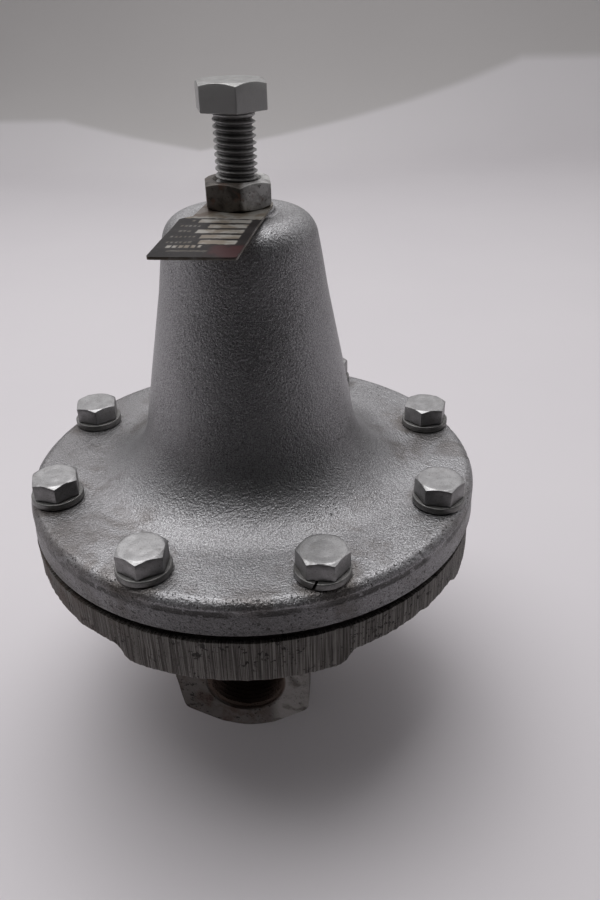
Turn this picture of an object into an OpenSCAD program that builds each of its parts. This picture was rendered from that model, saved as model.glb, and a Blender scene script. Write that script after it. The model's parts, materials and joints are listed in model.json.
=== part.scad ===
// Direct-acting pressure reducing valve with screwed ports and a cone-shaped spring cage.
// Millimetres. The origin is on the valve axis at the underside of the bottom cap, +Z is up,
// and the flow runs along Y, with the outlet at -Y.

/* [Flanged joint] */
// Outside diameter of the cover's flange
cover_flange_d = 157.2; // [154:0.1:158]
// Outside diameter of the body's flange
body_flange_d = 158; // [154:0.1:160]
// Diameter of the circle that the cover bolts stand on
bolt_circle_d = 138; // [136.5:0.5:138.5]
// Number of thick lobes under the body flange, with two bolts in each
lobe_count = 4; // [3:1:4]
// Height of the cover's bolt seats above the bottom cap's underside
seat_plane = 104; // [103:0.5:105]
// Thickness of the cover's flange
cover_flange_t = 12.2; // [12:0.1:14]
// Thickness of the body's flange between its lobes
body_flange_t = 10.6; // [9:0.1:11]
// Thickness of the body's flange at its lobes
lobe_t = 15.6; // [15.5:0.1:17]
// Radius on the top edge of the cover's flange
rim_round = 2.2; // [1:0.1:4]

/* [Spring cage] */
// Radius that the cage's cone would have at the bolt seats
cone_base_r = 39.7; // [39:0.1:41]
// Slope of the cone's side from the valve axis, in degrees
cone_slope = 11; // [10:0.1:11.5]
// Height of the cage above the bolt seats
cage_h = 88; // [86:0.5:92]
// Radius of the fillet between cone and flange
base_fillet = 22; // [18:0.5:24]
// Radius on the shoulder of the cage's top
dome_round = 8; // [6:0.5:9]
// Wall thickness of the cage
cage_wall = 5.5; // [5:0.1:6]
// Diameter of the vent hole in the back of the cage
vent_d = 4; // [3:0.5:5]

/* [Ports] */
// Height of the port axis above the bottom cap's underside
port_z = 49; // [48:0.5:50]
// Distance between the two port faces
face_to_face = 112; // [108:1:118]
// Distance across the flats of a port's hexagon
port_af = 43.4; // [42:0.1:46]
// Radius of the tapped wall inside a port
port_bore_r = 12.7; // [12:0.1:13]
// Depth of the tapped wall inside a port
port_bore_l = 17; // [14:0.5:18]

/* [Adjusting screw] */
// Thread diameter of the adjusting screw
screw_d = 12.64; // [12.4:0.01:12.64]
// Rise of the adjusting screw in one turn
screw_pitch = 1.9538; // [1.75:0.0001:2.1]
// Distance across the flats of the screw head and the jam nut
screw_af = 19.05; // [18:0.05:20]
// Length of the screw under its head
screw_l = 44.5; // [42:0.5:45]
// Length of thread that shows between the jam nut and the head
screw_show = 19; // [18:0.5:20]

/* [Cover bolts] */
// Shank diameter of a cover bolt
bolt_d = 9.5; // [9:0.1:9.6]
// Distance across the flats of a cover bolt's head
bolt_af = 14.3; // [13.5:0.1:15]
// Height of a cover bolt's head
bolt_head_h = 6.2; // [5.5:0.1:7]
// Outside diameter of a spring lock washer
washer_d = 17.2; // [16.5:0.1:17.6]
// Thickness of a spring lock washer
washer_t = 2.4; // [2:0.1:2.6]

/* [Valve trim] */
// Travel of the valve disc from shut to full open
valve_lift = 3; // [1:0.1:3]
// Diameter of the valve stem
stem_d = 7; // [6.6:0.1:7]
// Radius of the opening through the seat ring
seat_r = 8; // [7.5:0.1:8.4]

/* [Hidden] */
$fn = 96;

// Clearances: a turning or sliding fit, and a gap between faces that only meet
run_gap = 0.08;
face_gap = 0.05;

// Heights of the flanged joint, from the seats down
cover_r = cover_flange_d / 2;
body_r = body_flange_d / 2;
cover_z = seat_plane - cover_flange_t;
gasket_t = 0.8;
diaphragm_t = 1.4;
body_top = cover_z - 2 * gasket_t - diaphragm_t;
thin_z = body_top - body_flange_t;
lobe_z = body_top - lobe_t;

// Bolts stand in pairs, one pair to each lobe
bolt_total = 2 * lobe_count;
bolt_step = 360 / bolt_total;
bolt_hole_r = 5.2;
tapped_hole_r = bolt_d / 2 + face_gap;
tapped_hole_depth = 14.4;
bolt_l = 31.7;
// Turn of each bolt head and of each washer's split, as they happened to be tightened
head_turns = [4, 14, 53, 8, 40, 4, 24, 22];
split_turns = [-38, 104, 60, 20, 10, -50, -90, -140];

// Diaphragm chamber and its sealing land
chamber_r = 56;
land_r = cover_r - 3.2;

// Cage outline: both arcs keep their centres for any inset from the outer face
cone_cos = cos(cone_slope);
cone_sin = sin(cone_slope);
cone_reach = cone_base_r * cone_cos;
fillet_x = (cone_reach + base_fillet - base_fillet * cone_sin) / cone_cos;
fillet_z = seat_plane + base_fillet;
dome_x = (cone_reach - dome_round - (cage_h - dome_round) * cone_sin) / cone_cos;
dome_z = seat_plane + cage_h - dome_round;
top_boss_r = 13;
top_boss_z = seat_plane + cage_h + 1.4;
vent_z = seat_plane + 38;

// Nameplate, held under the jam nut by a round ear
plate_t = 0.8;
plate_w = 24;
plate_shift = -0.6;
plate_reach = 48;
plate_flat = 14;
plate_droop = 1.5;
plate_turn = -6;
plate_ear_r = 10.4;
plate_corner_y = -17;
plate_chamfer_h = 3;

// Adjusting screw and jam nut
screw_hole_r = screw_d / 2 + run_gap;
nut_z = top_boss_z + plate_t + face_gap;
nut_h = 7.9;
head_h = 7.9;
head_z = nut_z + nut_h + screw_show;
screw_tip_z = head_z - screw_l;
thread_depth = 1.05;
thread_end = 2.4;
head_turn = 11;
nut_turn = 10;

// Spring button, range spring and the plates on the diaphragm
button_r = 16;
button_t = 6;
button_z = screw_tip_z - 4.6;
button_pilot_r = 13;
range_wire_r = 2.4;
range_mean_r = 16;
range_turns = 8.5;
dish = 2;
stop_gap = 0.5;
centre_z = body_top + gasket_t - dish;
plate_z = centre_z + diaphragm_t;
upper_plate_t = 4;
lower_plate_t = 3;
chamber_floor_z = centre_z - lower_plate_t - valve_lift - stop_gap;
upper_plate_r = 44;
lower_plate_r = 42;
spring_seat_z = plate_z + upper_plate_t;
hub_r = 4.5;
collar_r = 6;
plate_nut_h = 7;
stem_top_z = spring_seat_z + plate_nut_h + 2;

// Valve seat, disc and stem, along the axis below the diaphragm
bridge_low_z = 42;
bridge_high_z = 52;
seat_ring_r = 12.5;
seat_lip_z = 40.5;
disc_gap = 0.1;
disc_top_z = seat_lip_z - disc_gap;
disc_t = 3;
disc_r = 11.4;
plug_r = 13.2;
plug_z = 31;
plug_cup_z = disc_top_z - 1;
lower_chamber_r = 17;
upper_chamber_r = 15;
deck_low_z = 64;
bushing_r = 8;
bushing_z = chamber_floor_z - 1;

// Bottom cap, screwed into the lower chamber
cap_hex_h = 10;
cap_af = 35;
cap_gasket_t = 1.2;
cap_thread_r = lower_chamber_r - face_gap;
cap_top_z = 21;
cap_pocket_r = 8.2;
cap_pocket_z = 7;
body_bottom_z = cap_hex_h + cap_gasket_t;
neck_r = 21;
return_wire_r = 0.9;
return_mean_r = 6.6;
return_turns = 7.5;

// ---------- Shared shapes ----------

module ring(outer, inner, z, h) {
    translate([0, 0, z]) difference() {
        cylinder(r = outer, h = h);
        translate([0, 0, -1]) cylinder(r = inner, h = h + 2);
    }
}

// One copy of the children at each bolt, counted from the first bolt on the +X side of -Y
module at_bolts() {
    for (i = [0 : bolt_total - 1])
        rotate([0, 0, (i + 0.5) * bolt_step]) translate([0, -bolt_circle_d / 2, 0]) {
            $bolt = i;
            children();
        }
}

// Hexagon with a corner at -Y
module hexagon(af, h) {
    rotate([0, 0, 30]) cylinder(d = af / cos(30), h = h, $fn = 6);
}

// Hexagon with its upper corners turned off, and its lower ones too when both is true
module turned_hexagon(af, h, both = false) {
    corner = af / cos(30) / 2;
    face = af / 2 - 0.3;
    cut = (corner - face) * tan(28);
    intersection() {
        hexagon(af, h);
        rotate_extrude() polygon([
            [0, 0], [both ? face : corner, 0], [corner, both ? cut : 0],
            [corner, h - cut], [face, h], [0, h]
        ]);
    }
}

// Height of a spring's wire after t turns: the end turns lie almost flat
function coil_z(t, turns, low, high, wire) =
    let (flat = 2.2 * wire, rise = (high - low - 2 * flat) / (turns - 2))
    t < 1 ? low + t * flat :
    t > turns - 1 ? high - (turns - t) * flat :
    low + flat + (t - 1) * rise;

// A round wire swept along a helix, from wire centre low to wire centre high
module coil(mean_r, wire, turns, low, high, per_turn = 26, sides = 8) {
    rings = floor(turns * per_turn);
    points = [
        for (i = [0 : rings], k = [0 : sides - 1])
            let (t = turns * i / rings, r = mean_r + wire * cos(360 * k / sides))
            [r * cos(360 * t), r * sin(360 * t),
             coil_z(t, turns, low, high, wire) + wire * sin(360 * k / sides)]
    ];
    sides_faces = [
        for (i = [0 : rings - 1], k = [0 : sides - 1])
            let (a = i * sides + k, b = i * sides + (k + 1) % sides)
            [a, a + sides, b + sides, b]
    ];
    first = [[for (k = [0 : sides - 1]) k]];
    last = [[for (k = [sides - 1 : -1 : 0]) rings * sides + k]];
    polyhedron(points = points, faces = concat(sides_faces, first, last), convexity = 10);
}

// ---------- Housing ----------

// Half section of the cage, inset from its outer face
module cage_outline(inset) {
    fillet_r = base_fillet + inset;
    dome_r = dome_round - inset;
    difference() {
        union() {
            polygon([
                [0, cover_z], [fillet_x, cover_z], [fillet_x, fillet_z - fillet_r],
                [fillet_x - fillet_r * cone_cos, fillet_z - fillet_r * cone_sin],
                [dome_x + dome_r * cone_cos, dome_z + dome_r * cone_sin],
                [dome_x, dome_z + dome_r], [0, dome_z + dome_r]
            ]);
            translate([dome_x, dome_z]) circle(r = dome_r);
        }
        translate([fillet_x, fillet_z]) circle(r = fillet_r);
    }
}

module cage_flange_outline() {
    translate([0, cover_z]) square([cover_r, cover_flange_t - rim_round]);
    translate([0, cover_z]) square([cover_r - rim_round, cover_flange_t]);
    translate([cover_r - rim_round, seat_plane - rim_round]) circle(r = rim_round);
}

module vent_hole() {
    translate([0, 20, vent_z]) rotate([-90, 0, 0]) cylinder(d = vent_d, h = 20);
}

module spring_cage() {
    color([0.62, 0.62, 0.63]) difference() {
        union() {
            rotate_extrude() cage_outline(0);
            rotate_extrude() cage_flange_outline();
            translate([0, 0, top_boss_z - 4]) cylinder(r = top_boss_r, h = 4);
        }
        rotate_extrude() intersection() {
            cage_outline(cage_wall);
            translate([0, cover_z - 1]) square([chamber_r, cage_h + cover_flange_t]);
        }
        translate([0, 0, cover_z - 1]) cylinder(r = chamber_r, h = 3);
        translate([0, 0, dome_z]) cylinder(r = screw_hole_r, h = dome_round + 6);
        at_bolts() translate([0, 0, cover_z - 1]) cylinder(r = bolt_hole_r, h = cover_flange_t + 2);
        vent_hole();
    }
}

// Globe and bowl of the body, without its ports
module body_outline() {
    polygon([
        [0, body_bottom_z], [neck_r, body_bottom_z], [neck_r, 24], [31, 38], [33, 46],
        [33, 54], [31, 64], [48, lobe_z + 1], [61, thin_z],
        [body_r, thin_z], [body_r, body_top], [0, body_top]
    ]);
}

// One thick lobe under the flange at -Y, with rounded lower corners
module flange_lobe() {
    half_w = body_r * sin(bolt_step / 2 + 7);
    corner_r = 6;
    intersection() {
        ring(body_r, 47, lobe_z, lobe_t);
        translate([0, -40, 0]) rotate([90, 0, 0]) linear_extrude(height = body_r - 38) {
            translate([-half_w + corner_r, lobe_z]) square([2 * (half_w - corner_r), lobe_t]);
            translate([-half_w, lobe_z + corner_r]) square([2 * half_w, lobe_t - corner_r]);
            for (side = [-1, 1])
                translate([side * (half_w - corner_r), lobe_z + corner_r]) circle(r = corner_r);
        }
    }
}

// Children are drawn along -Y as the outlet, then turned round as the inlet
module at_ports() {
    for (turn = [0, 180]) rotate([0, 0, turn]) children();
}

// Hexagonal end with a corner downwards, its corners turned round
module port_boss() {
    translate([0, -face_to_face / 2, port_z]) rotate([-90, 0, 0]) intersection() {
        hexagon(port_af, face_to_face / 2 - 18);
        cylinder(r = port_af * 0.553, h = face_to_face / 2 - 18);
    }
}

module port_bore() {
    mouth_y = face_to_face / 2;
    translate([0, -mouth_y - 1, port_z]) rotate([-90, 0, 0]) {
        cylinder(r = port_bore_r, h = port_bore_l + 1);
        cylinder(r1 = port_bore_r + 2, r2 = port_bore_r, h = 2);
    }
}

// Sloping passage from the bottom of a port bore towards a chamber at height z
module passage(z) {
    start_y = port_bore_l - face_to_face / 2 - 3;
    run = -start_y - 9;
    rise = z - port_z;
    translate([0, start_y, port_z]) rotate([-90 + atan(rise / run), 0, 0])
        cylinder(r = 9, h = sqrt(run * run + rise * rise));
}

module valve_body() {
    color([0.42, 0.41, 0.40]) difference() {
        union() {
            rotate_extrude() body_outline();
            for (i = [0 : lobe_count - 1]) rotate([0, 0, i * 360 / lobe_count]) flange_lobe();
            at_ports() port_boss();
        }
        at_ports() port_bore();
        passage(58);
        rotate([0, 0, 180]) passage(35);
        translate([0, 0, chamber_floor_z]) cylinder(r = upper_plate_r + 1, h = 20);
        translate([0, 0, chamber_floor_z]) cylinder(r1 = upper_plate_r + 1, r2 = chamber_r, h = 4);
        translate([0, 0, chamber_floor_z + 4]) cylinder(r = chamber_r, h = 20);
        translate([0, 0, bridge_high_z]) cylinder(r = upper_chamber_r, h = deck_low_z - bridge_high_z);
        translate([0, 0, body_bottom_z - 1])
            cylinder(r = lower_chamber_r, h = bridge_low_z - body_bottom_z + 1);
        translate([0, 0, bridge_low_z - 1]) cylinder(r = seat_ring_r + face_gap, h = 12);
        translate([0, 0, deck_low_z - 1]) cylinder(r = bushing_r + face_gap, h = 30);
        translate([0, -12, deck_low_z - 1]) cylinder(r = 1.2, h = 30);
        at_bolts() translate([0, 0, body_top - tapped_hole_depth])
            cylinder(r = tapped_hole_r, h = tapped_hole_depth + 1);
    }
}

module seat_ring() {
    color("goldenrod") rotate_extrude() polygon([
        [seat_r, seat_lip_z], [seat_r + 1.2, seat_lip_z], [seat_r + 2, bridge_low_z],
        [seat_ring_r, bridge_low_z], [seat_ring_r, bridge_high_z - 1],
        [seat_r + 1, bridge_high_z - 1], [seat_r, bridge_high_z - 2]
    ]);
}

module guide_bushing() {
    color("darkgoldenrod")
        ring(bushing_r, stem_d / 2 + run_gap / 2, deck_low_z + 1, bushing_z - deck_low_z - 1);
}

module bottom_cap() {
    color([0.45, 0.44, 0.43]) difference() {
        union() {
            mirror([0, 0, 1]) translate([0, 0, -cap_hex_h]) turned_hexagon(cap_af, cap_hex_h);
            cylinder(r = cap_thread_r, h = cap_top_z);
        }
        translate([0, 0, cap_pocket_z]) cylinder(r = cap_pocket_r, h = cap_top_z);
    }
}

module bottom_gasket() {
    color("peru") ring(20.5, cap_thread_r + face_gap, cap_hex_h, cap_gasket_t);
}

// Flat ring between the flanges, with a hole at each bolt
module flange_gasket(z) {
    difference() {
        ring(land_r, chamber_r, z, gasket_t);
        at_bolts() translate([0, 0, z - 1]) cylinder(r = bolt_hole_r, h = gasket_t + 2);
    }
}

module lower_gasket() {
    color("dimgray") flange_gasket(body_top);
}

module upper_gasket() {
    color("dimgray") flange_gasket(cover_z - gasket_t);
}

// Cloth-backed rubber sheet, dished at its free ring
module diaphragm() {
    rim_z = body_top + gasket_t;
    free_out = chamber_r - 1;
    free_in = upper_plate_r + 1;
    color([0.12, 0.12, 0.12]) difference() {
        rotate_extrude() polygon([
            [hub_r + face_gap, centre_z], [free_in, centre_z], [free_out, rim_z], [land_r, rim_z],
            [land_r, rim_z + diaphragm_t], [free_out, rim_z + diaphragm_t],
            [free_in, centre_z + diaphragm_t], [hub_r + face_gap, centre_z + diaphragm_t]
        ]);
        at_bolts() translate([0, 0, rim_z - 1]) cylinder(r = bolt_hole_r, h = diaphragm_t + 2);
    }
}

module cover_bolt(turn) {
    head_low_z = seat_plane + washer_t;
    translate([0, 0, head_low_z]) rotate([0, 0, turn]) turned_hexagon(bolt_af, bolt_head_h);
    translate([0, 0, head_low_z - bolt_l]) {
        cylinder(r = bolt_d / 2 - 1, h = 1);
        translate([0, 0, 1]) cylinder(r = bolt_d / 2, h = bolt_l);
    }
}

module cover_bolts() {
    color([0.66, 0.66, 0.65]) at_bolts() cover_bolt(head_turns[$bolt]);
}

module lock_washer(turn) {
    difference() {
        ring(washer_d / 2, bolt_d / 2 + 0.25, seat_plane, washer_t);
        rotate([0, 0, turn]) translate([-0.4, -washer_d, seat_plane - 1]) rotate([0, 14, 0])
            cube([0.8, washer_d, washer_t + 3]);
    }
}

module lock_washers() {
    color([0.55, 0.55, 0.54]) at_bolts() lock_washer(split_turns[$bolt]);
}

// Side view of the nameplate: flat round the screw, then drooping a little
module plate_side() {
    droop_y = -plate_flat - (plate_reach - plate_flat) * cos(plate_droop);
    droop_z = -(plate_reach - plate_flat) * sin(plate_droop);
    polygon([
        [plate_ear_r, 0], [-plate_flat, 0], [droop_y, droop_z],
        [droop_y, droop_z + plate_t], [-plate_flat, plate_t], [plate_ear_r, plate_t]
    ]);
}

// Top view of the nameplate: a strip with one corner cut off beside the ear round the screw
module plate_top() {
    left = plate_shift - plate_w / 2;
    right = plate_shift + plate_w / 2;
    circle(r = plate_ear_r);
    polygon([
        [0, plate_ear_r], [-plate_ear_r, 0], [-plate_ear_r, plate_corner_y + plate_chamfer_h],
        [left, plate_corner_y], [left, -plate_reach],
        [right, -plate_reach], [right, plate_corner_y], [plate_ear_r, 0]
    ]);
}

// Thin metal plate that the jam nut clamps on the cage
module nameplate() {
    color([0.14, 0.13, 0.13]) rotate([0, 0, plate_turn]) translate([0, 0, top_boss_z]) difference() {
        intersection() {
            translate([-plate_w, 0, 0]) rotate([90, 0, 90])
                linear_extrude(height = 2 * plate_w) plate_side();
            translate([0, 0, -plate_w]) linear_extrude(height = 2 * plate_w) plate_top();
        }
        translate([0, 0, -1]) cylinder(r = screw_d / 2 + 0.5, h = 4);
    }
}

// ---------- Adjusting gear ----------

module jam_nut() {
    color([0.50, 0.48, 0.44]) translate([0, 0, nut_z]) rotate([0, 0, nut_turn]) difference() {
        turned_hexagon(screw_af, nut_h, both = true);
        translate([0, 0, -1]) cylinder(r = screw_hole_r, h = nut_h + 2);
    }
}

// Shank section: one ridge to each pitch, from the tip up to the head
module thread_outline() {
    r = screw_d / 2;
    ridges = floor((screw_l - thread_end - 0.5) / screw_pitch);
    polygon(concat(
        [[0, 0], [r - 2, 0], [r - thread_depth, 1.2]],
        [for (i = [0 : ridges - 1], k = [0 : 3])
            let (z = thread_end + i * screw_pitch)
            [k == 0 || k == 3 ? r - thread_depth : r, z + screw_pitch * [0.06, 0.44, 0.56, 0.94][k]]],
        [[r - thread_depth, screw_l], [0, screw_l]]
    ));
}

module adjusting_screw() {
    color([0.60, 0.60, 0.60]) {
        translate([0, 0, head_z]) rotate([0, 0, head_turn]) turned_hexagon(screw_af, head_h);
        translate([0, 0, screw_tip_z]) rotate_extrude() thread_outline();
    }
}

module spring_button() {
    color([0.55, 0.50, 0.38]) difference() {
        union() {
            translate([0, 0, button_z]) cylinder(r = button_r + 1.4, h = button_t);
            translate([0, 0, button_z - 4]) cylinder(r = button_pilot_r, h = 5);
        }
        translate([0, 0, screw_tip_z - face_gap]) cylinder(r = screw_d / 2 - 1, h = 10);
    }
}

module range_spring() {
    gap = range_wire_r + face_gap;
    color([0.35, 0.37, 0.40])
        coil(range_mean_r, range_wire_r, range_turns, spring_seat_z + gap, button_z - gap, 30, 10);
}

// ---------- Diaphragm and valve assembly ----------

module upper_diaphragm_plate() {
    lip_h = 2.4;
    color([0.55, 0.56, 0.58]) rotate_extrude() polygon([
        [hub_r + face_gap, plate_z], [upper_plate_r - 1.5, plate_z], [upper_plate_r, plate_z + 1.5],
        [upper_plate_r, spring_seat_z - 1.5], [22.5, spring_seat_z], [22.5, spring_seat_z + lip_h],
        [19.5, spring_seat_z + lip_h], [19.5, spring_seat_z], [hub_r + face_gap, spring_seat_z]
    ]);
}

module lower_diaphragm_plate() {
    low_z = centre_z - lower_plate_t;
    color([0.55, 0.56, 0.58]) rotate_extrude() polygon([
        [hub_r + face_gap, low_z], [lower_plate_r - 2, low_z], [lower_plate_r, low_z + 1.5],
        [lower_plate_r, centre_z - 0.5], [lower_plate_r - 0.5, centre_z], [hub_r + face_gap, centre_z]
    ]);
}

module plate_nut() {
    color([0.60, 0.60, 0.60]) translate([0, 0, spring_seat_z]) difference() {
        turned_hexagon(16, plate_nut_h);
        translate([0, 0, -1]) cylinder(r = hub_r + face_gap, h = plate_nut_h + 2);
    }
}

module valve_stem() {
    collar_z = centre_z - lower_plate_t;
    color([0.70, 0.70, 0.72]) {
        translate([0, 0, plug_z + 3]) cylinder(d = stem_d, h = collar_z - plug_z - 3);
        translate([0, 0, collar_z - 1.2]) cylinder(r = collar_r, h = 1.2);
        translate([0, 0, collar_z - 1]) cylinder(r = hub_r, h = stem_top_z - collar_z + 1);
    }
}

module valve_plug() {
    color("darkgoldenrod") difference() {
        union() {
            translate([0, 0, plug_z]) cylinder(r = plug_r, h = plug_cup_z - plug_z);
            translate([0, 0, plug_z - 7]) cylinder(r = 5, h = 8);
        }
        translate([0, 0, disc_top_z - disc_t]) cylinder(r = disc_r + face_gap, h = 10);
        translate([0, 0, plug_z + 3]) cylinder(r = stem_d / 2 + face_gap, h = 20);
    }
}

module seat_disc() {
    color([0.10, 0.10, 0.10]) ring(disc_r, stem_d / 2 + face_gap, disc_top_z - disc_t, disc_t);
}

module disc_retainer() {
    color("darkgoldenrod") ring(6.6, stem_d / 2 + face_gap, disc_top_z, 2.5);
}

module return_spring() {
    gap = return_wire_r + face_gap;
    color([0.45, 0.47, 0.50])
        coil(return_mean_r, return_wire_r, return_turns, cap_pocket_z + gap, plug_z - gap, 24, 8);
}

valve_body();
seat_ring();
guide_bushing();
bottom_cap();
bottom_gasket();
lower_gasket();
diaphragm();
upper_gasket();
spring_cage();
cover_bolts();
lock_washers();
nameplate();
jam_nut();
adjusting_screw();
spring_button();
range_spring();
valve_stem();
valve_plug();
seat_disc();
disc_retainer();
lower_diaphragm_plate();
upper_diaphragm_plate();
plate_nut();
return_spring();
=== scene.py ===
import json
import math

import bmesh
import bpy
import numpy as np
from mathutils import Matrix, Vector


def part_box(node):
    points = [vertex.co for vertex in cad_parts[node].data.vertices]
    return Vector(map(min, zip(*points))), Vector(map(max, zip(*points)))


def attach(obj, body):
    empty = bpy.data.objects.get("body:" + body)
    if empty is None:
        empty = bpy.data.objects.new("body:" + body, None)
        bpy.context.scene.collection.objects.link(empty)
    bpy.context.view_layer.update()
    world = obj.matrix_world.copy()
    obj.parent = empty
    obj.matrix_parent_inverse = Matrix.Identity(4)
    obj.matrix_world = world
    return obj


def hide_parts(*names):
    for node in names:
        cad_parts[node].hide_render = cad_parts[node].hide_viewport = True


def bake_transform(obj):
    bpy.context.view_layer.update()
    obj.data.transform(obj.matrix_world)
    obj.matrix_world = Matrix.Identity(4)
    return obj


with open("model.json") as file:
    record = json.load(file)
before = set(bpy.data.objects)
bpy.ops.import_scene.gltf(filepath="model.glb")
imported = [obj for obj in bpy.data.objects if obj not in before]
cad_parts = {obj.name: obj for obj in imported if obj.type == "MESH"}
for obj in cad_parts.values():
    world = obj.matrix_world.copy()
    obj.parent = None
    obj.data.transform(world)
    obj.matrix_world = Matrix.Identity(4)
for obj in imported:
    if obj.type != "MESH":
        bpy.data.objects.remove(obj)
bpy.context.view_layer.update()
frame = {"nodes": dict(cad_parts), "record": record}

MM = 0.001
scene = bpy.context.scene


# ---------- Camera ----------

def turned(vectors, about, degrees):
    turn = Matrix.Rotation(math.radians(degrees), 3, about)
    return [turn @ v for v in vectors]


def make_camera():
    """Looks down on the bolt circle's centre from in front, then is turned a little off it."""
    azimuth, elevation, distance = 7.209, 31.525, 288.69 * MM
    yaw, pitch, roll = -3.362, 0.298, 3.422
    focal_of_long_side = 0.88237
    target = Vector((0, 0, 104 * MM))
    a, e = math.radians(azimuth), math.radians(elevation)
    out = Vector((math.sin(a) * math.cos(e), -math.cos(a) * math.cos(e), math.sin(e)))
    look, right = -out, Vector((math.cos(a), math.sin(a), 0))
    up = right.cross(look)
    look, right = turned((look, right), up, yaw)
    look, up = turned((look, up), right, pitch)
    right, up = turned((right, up), look, roll)
    data = bpy.data.cameras.new("camera")
    data.sensor_width = 36
    data.lens = focal_of_long_side * data.sensor_width
    data.clip_start, data.clip_end = 0.01, 20
    camera = bpy.data.objects.new("camera", data)
    scene.collection.objects.link(camera)
    basis = Matrix((right, up, -look)).transposed().to_4x4()
    camera.matrix_world = Matrix.Translation(target + out * distance) @ basis
    scene.camera = camera


make_camera()


# ---------- Sizes, in millimetres ----------

def low(node):
    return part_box(node)[0] / MM


def high(node):
    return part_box(node)[1] / MM


# From the frame
SEAT_Z = low("lock_washers").z
COVER_LOW_Z = low("spring_cage").z
COVER_R = high("spring_cage").y
BOSS_Z = high("spring_cage").z
BODY_R = high("valve_body").x
BODY_TOP_Z = high("valve_body").z
BODY_LOW_Z = low("valve_body").z
WASHER_T = high("lock_washers").z - SEAT_Z
HEAD_H = high("cover_bolts").z - high("lock_washers").z
BOLT_LOW_Z = low("cover_bolts").z
NUT_Z = low("jam_nut").z
NUT_H = high("jam_nut").z - NUT_Z
SCREW_LOW_Z = low("adjusting_screw").z
SCREW_TOP_Z = high("adjusting_screw").z
PLATE_NUT_Z = low("plate_nut").z
PLATE_NUT_H = high("plate_nut").z - PLATE_NUT_Z

# As the frame's parts are drawn
RUN_GAP = 0.08
BOLT_CIRCLE_R = 69
BOLT_R = 4.75
BOLT_AF = 14.3
BOLT_HOLE_R = 5.2
HEAD_TURNS = (4, 14, 53, 8, 40, 4, 24, 22)
SPLIT_TURNS = (-38, 104, 60, 20, 10, -50, -90, -140)
FLANGE_T = 10.6
CONE_BASE_R = 39.7
CONE_SLOPE = math.radians(11)
CAGE_H = 88
CAGE_WALL = 5.5
BASE_FILLET = 22
DOME_ROUND = 8
VENT_R = 2
VENT_Z = SEAT_Z + 38
CHAMBER_R = 56
PORT_Z = 49
PORT_Y = 56
PORT_AF = 43.4
PORT_R = 12.7
PORT_PITCH = 1.814
SCREW_R = 6.32
SCREW_PITCH = 1.9538
SCREW_HEAD_H = 7.9
NUT_TURN = 10

# Where the real valve is a little different from the frame's parts
RIM_ROUND = 3.6
BOSS_R = 11
SHOULDER_FULL = 0.55
FLANGE_SHIFT = 0.5
SCREW_AF = 19.3
HEAD_TURN = 14
HEAD_SHIFT = 0.4
PLATE_TURN = -6.6


# ---------- Meshes ----------

def new_object(name, verts, faces):
    mesh = bpy.data.meshes.new(name)
    mesh.from_pydata([tuple(v) for v in np.asarray(verts, float) * MM], [], faces)
    obj = bpy.data.objects.new(name, mesh)
    scene.collection.objects.link(obj)
    work = bmesh.new()
    work.from_mesh(mesh)
    bmesh.ops.recalc_face_normals(work, faces=work.faces)
    work.to_mesh(mesh)
    work.free()
    return obj


def loft(name, rings, loop=False):
    """Skin over rings of equally many points. A loop joins last to first. Otherwise the ends are capped."""
    rings = np.asarray(rings, float)
    count, sides = rings.shape[:2]
    faces = []
    for a in range(count if loop else count - 1):
        b = (a + 1) % count
        for k in range(sides):
            j = (k + 1) % sides
            faces.append((a * sides + k, a * sides + j, b * sides + j, b * sides + k))
    if not loop:
        faces.append(tuple(range(sides - 1, -1, -1)))
        faces.append(tuple((count - 1) * sides + k for k in range(sides)))
    return new_object(name, rings.reshape(-1, 3), faces)


def ring(angles, radius, z):
    """Points round the axis at angles turned from -Y towards +X."""
    r = np.broadcast_to(radius, angles.shape)
    return np.stack([r * np.sin(angles), -r * np.cos(angles), np.broadcast_to(z, angles.shape)], 1)


def even_angles(count):
    return np.arange(count) * 2 * math.pi / count


def lathe(name, profile, count, loop=True):
    angles = even_angles(count)
    return loft(name, [ring(angles, r, z) for r, z in profile], loop)


def arc(x, z, r, start, end, count):
    """Points on an arc in the profile plane, with angles in degrees from +X."""
    turn = np.radians(np.linspace(start, end, count))
    return [(x + r * math.cos(t), z + r * math.sin(t)) for t in turn]


def fine(profile, step):
    """The profile, with points added so that none is further than step from the last."""
    out = [profile[0]]
    for a, b in zip(profile, profile[1:]):
        parts = max(1, math.ceil(math.dist(a, b) / step))
        out += [tuple(np.array(a) + (np.array(b) - a) * i / parts) for i in range(1, parts + 1)]
    return out


def baked(obj):
    """Applies the object's modifiers."""
    bpy.context.view_layer.update()
    mesh = bpy.data.meshes.new_from_object(obj.evaluated_get(bpy.context.evaluated_depsgraph_get()))
    obj.modifiers.clear()
    obj.data = mesh
    return obj


def cut(obj, others, operation="DIFFERENCE"):
    """Boolean with each other solid in turn, which are then removed."""
    for other in others:
        modifier = obj.modifiers.new("cut", "BOOLEAN")
        modifier.operation = operation
        modifier.solver = "MANIFOLD"
        modifier.object = other
        baked(obj)
        bpy.data.objects.remove(other)
    return obj


def cylinder(r, z0, z1, count=96):
    return lathe("cutter", [(r, z0), (r, z1)], count, loop=False)


def moved(obj, matrix):
    obj.data.transform(matrix)
    return obj


def shifted(obj, x=0, y=0, z=0):
    return moved(obj, Matrix.Translation(Vector((x, y, z)) * MM))


def rotated(obj, degrees, axis="Z"):
    return moved(obj, Matrix.Rotation(math.radians(degrees), 4, axis))


def at_bolt(obj, i):
    return rotated(shifted(obj, y=-BOLT_CIRCLE_R), (i + 0.5) * 45)


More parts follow.
